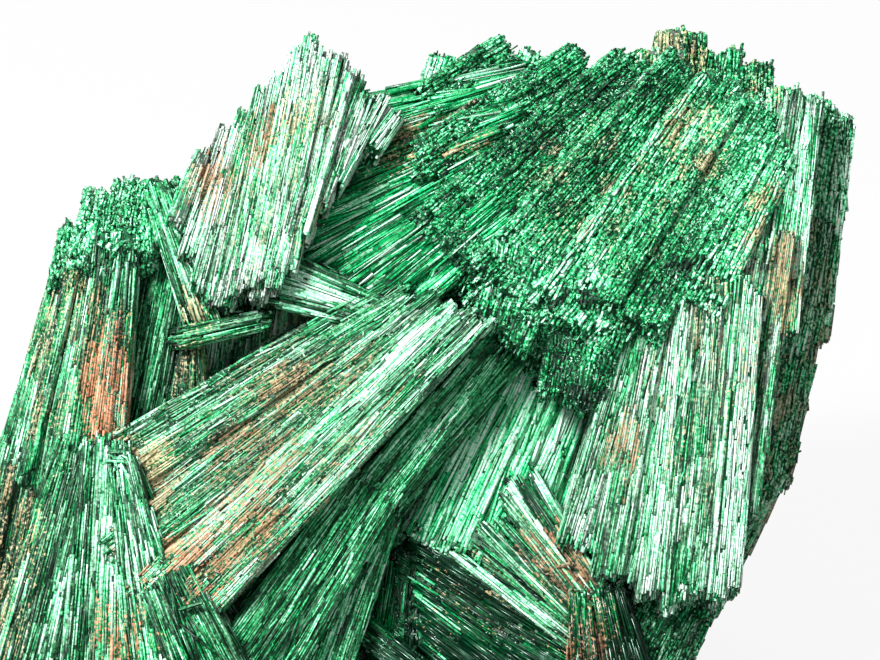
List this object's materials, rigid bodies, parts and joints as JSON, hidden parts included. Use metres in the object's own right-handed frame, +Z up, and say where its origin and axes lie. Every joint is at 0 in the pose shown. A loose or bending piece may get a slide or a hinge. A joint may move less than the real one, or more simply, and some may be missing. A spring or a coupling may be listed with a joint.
{
  "type": "fibrous malachite specimen",
  "caption": "Hand-sized lump of green fibrous malachite with sheaves of needle crystals, a leaning front face and a flat broken base to rest on.",
  "frame": {"origin": "on the flat broken base, under the middle of the front face", "axes": "+X to the right along the longest side, +Y from the front face to the back, +Z up out of the base"},
  "size_m": [0.0686, 0.0447, 0.0506],
  "materials": {
    "malachite": "silky"
  },
  "bodies": {
    "root": {"malachite_cluster": "malachite"}
  },
  "joints": []
}
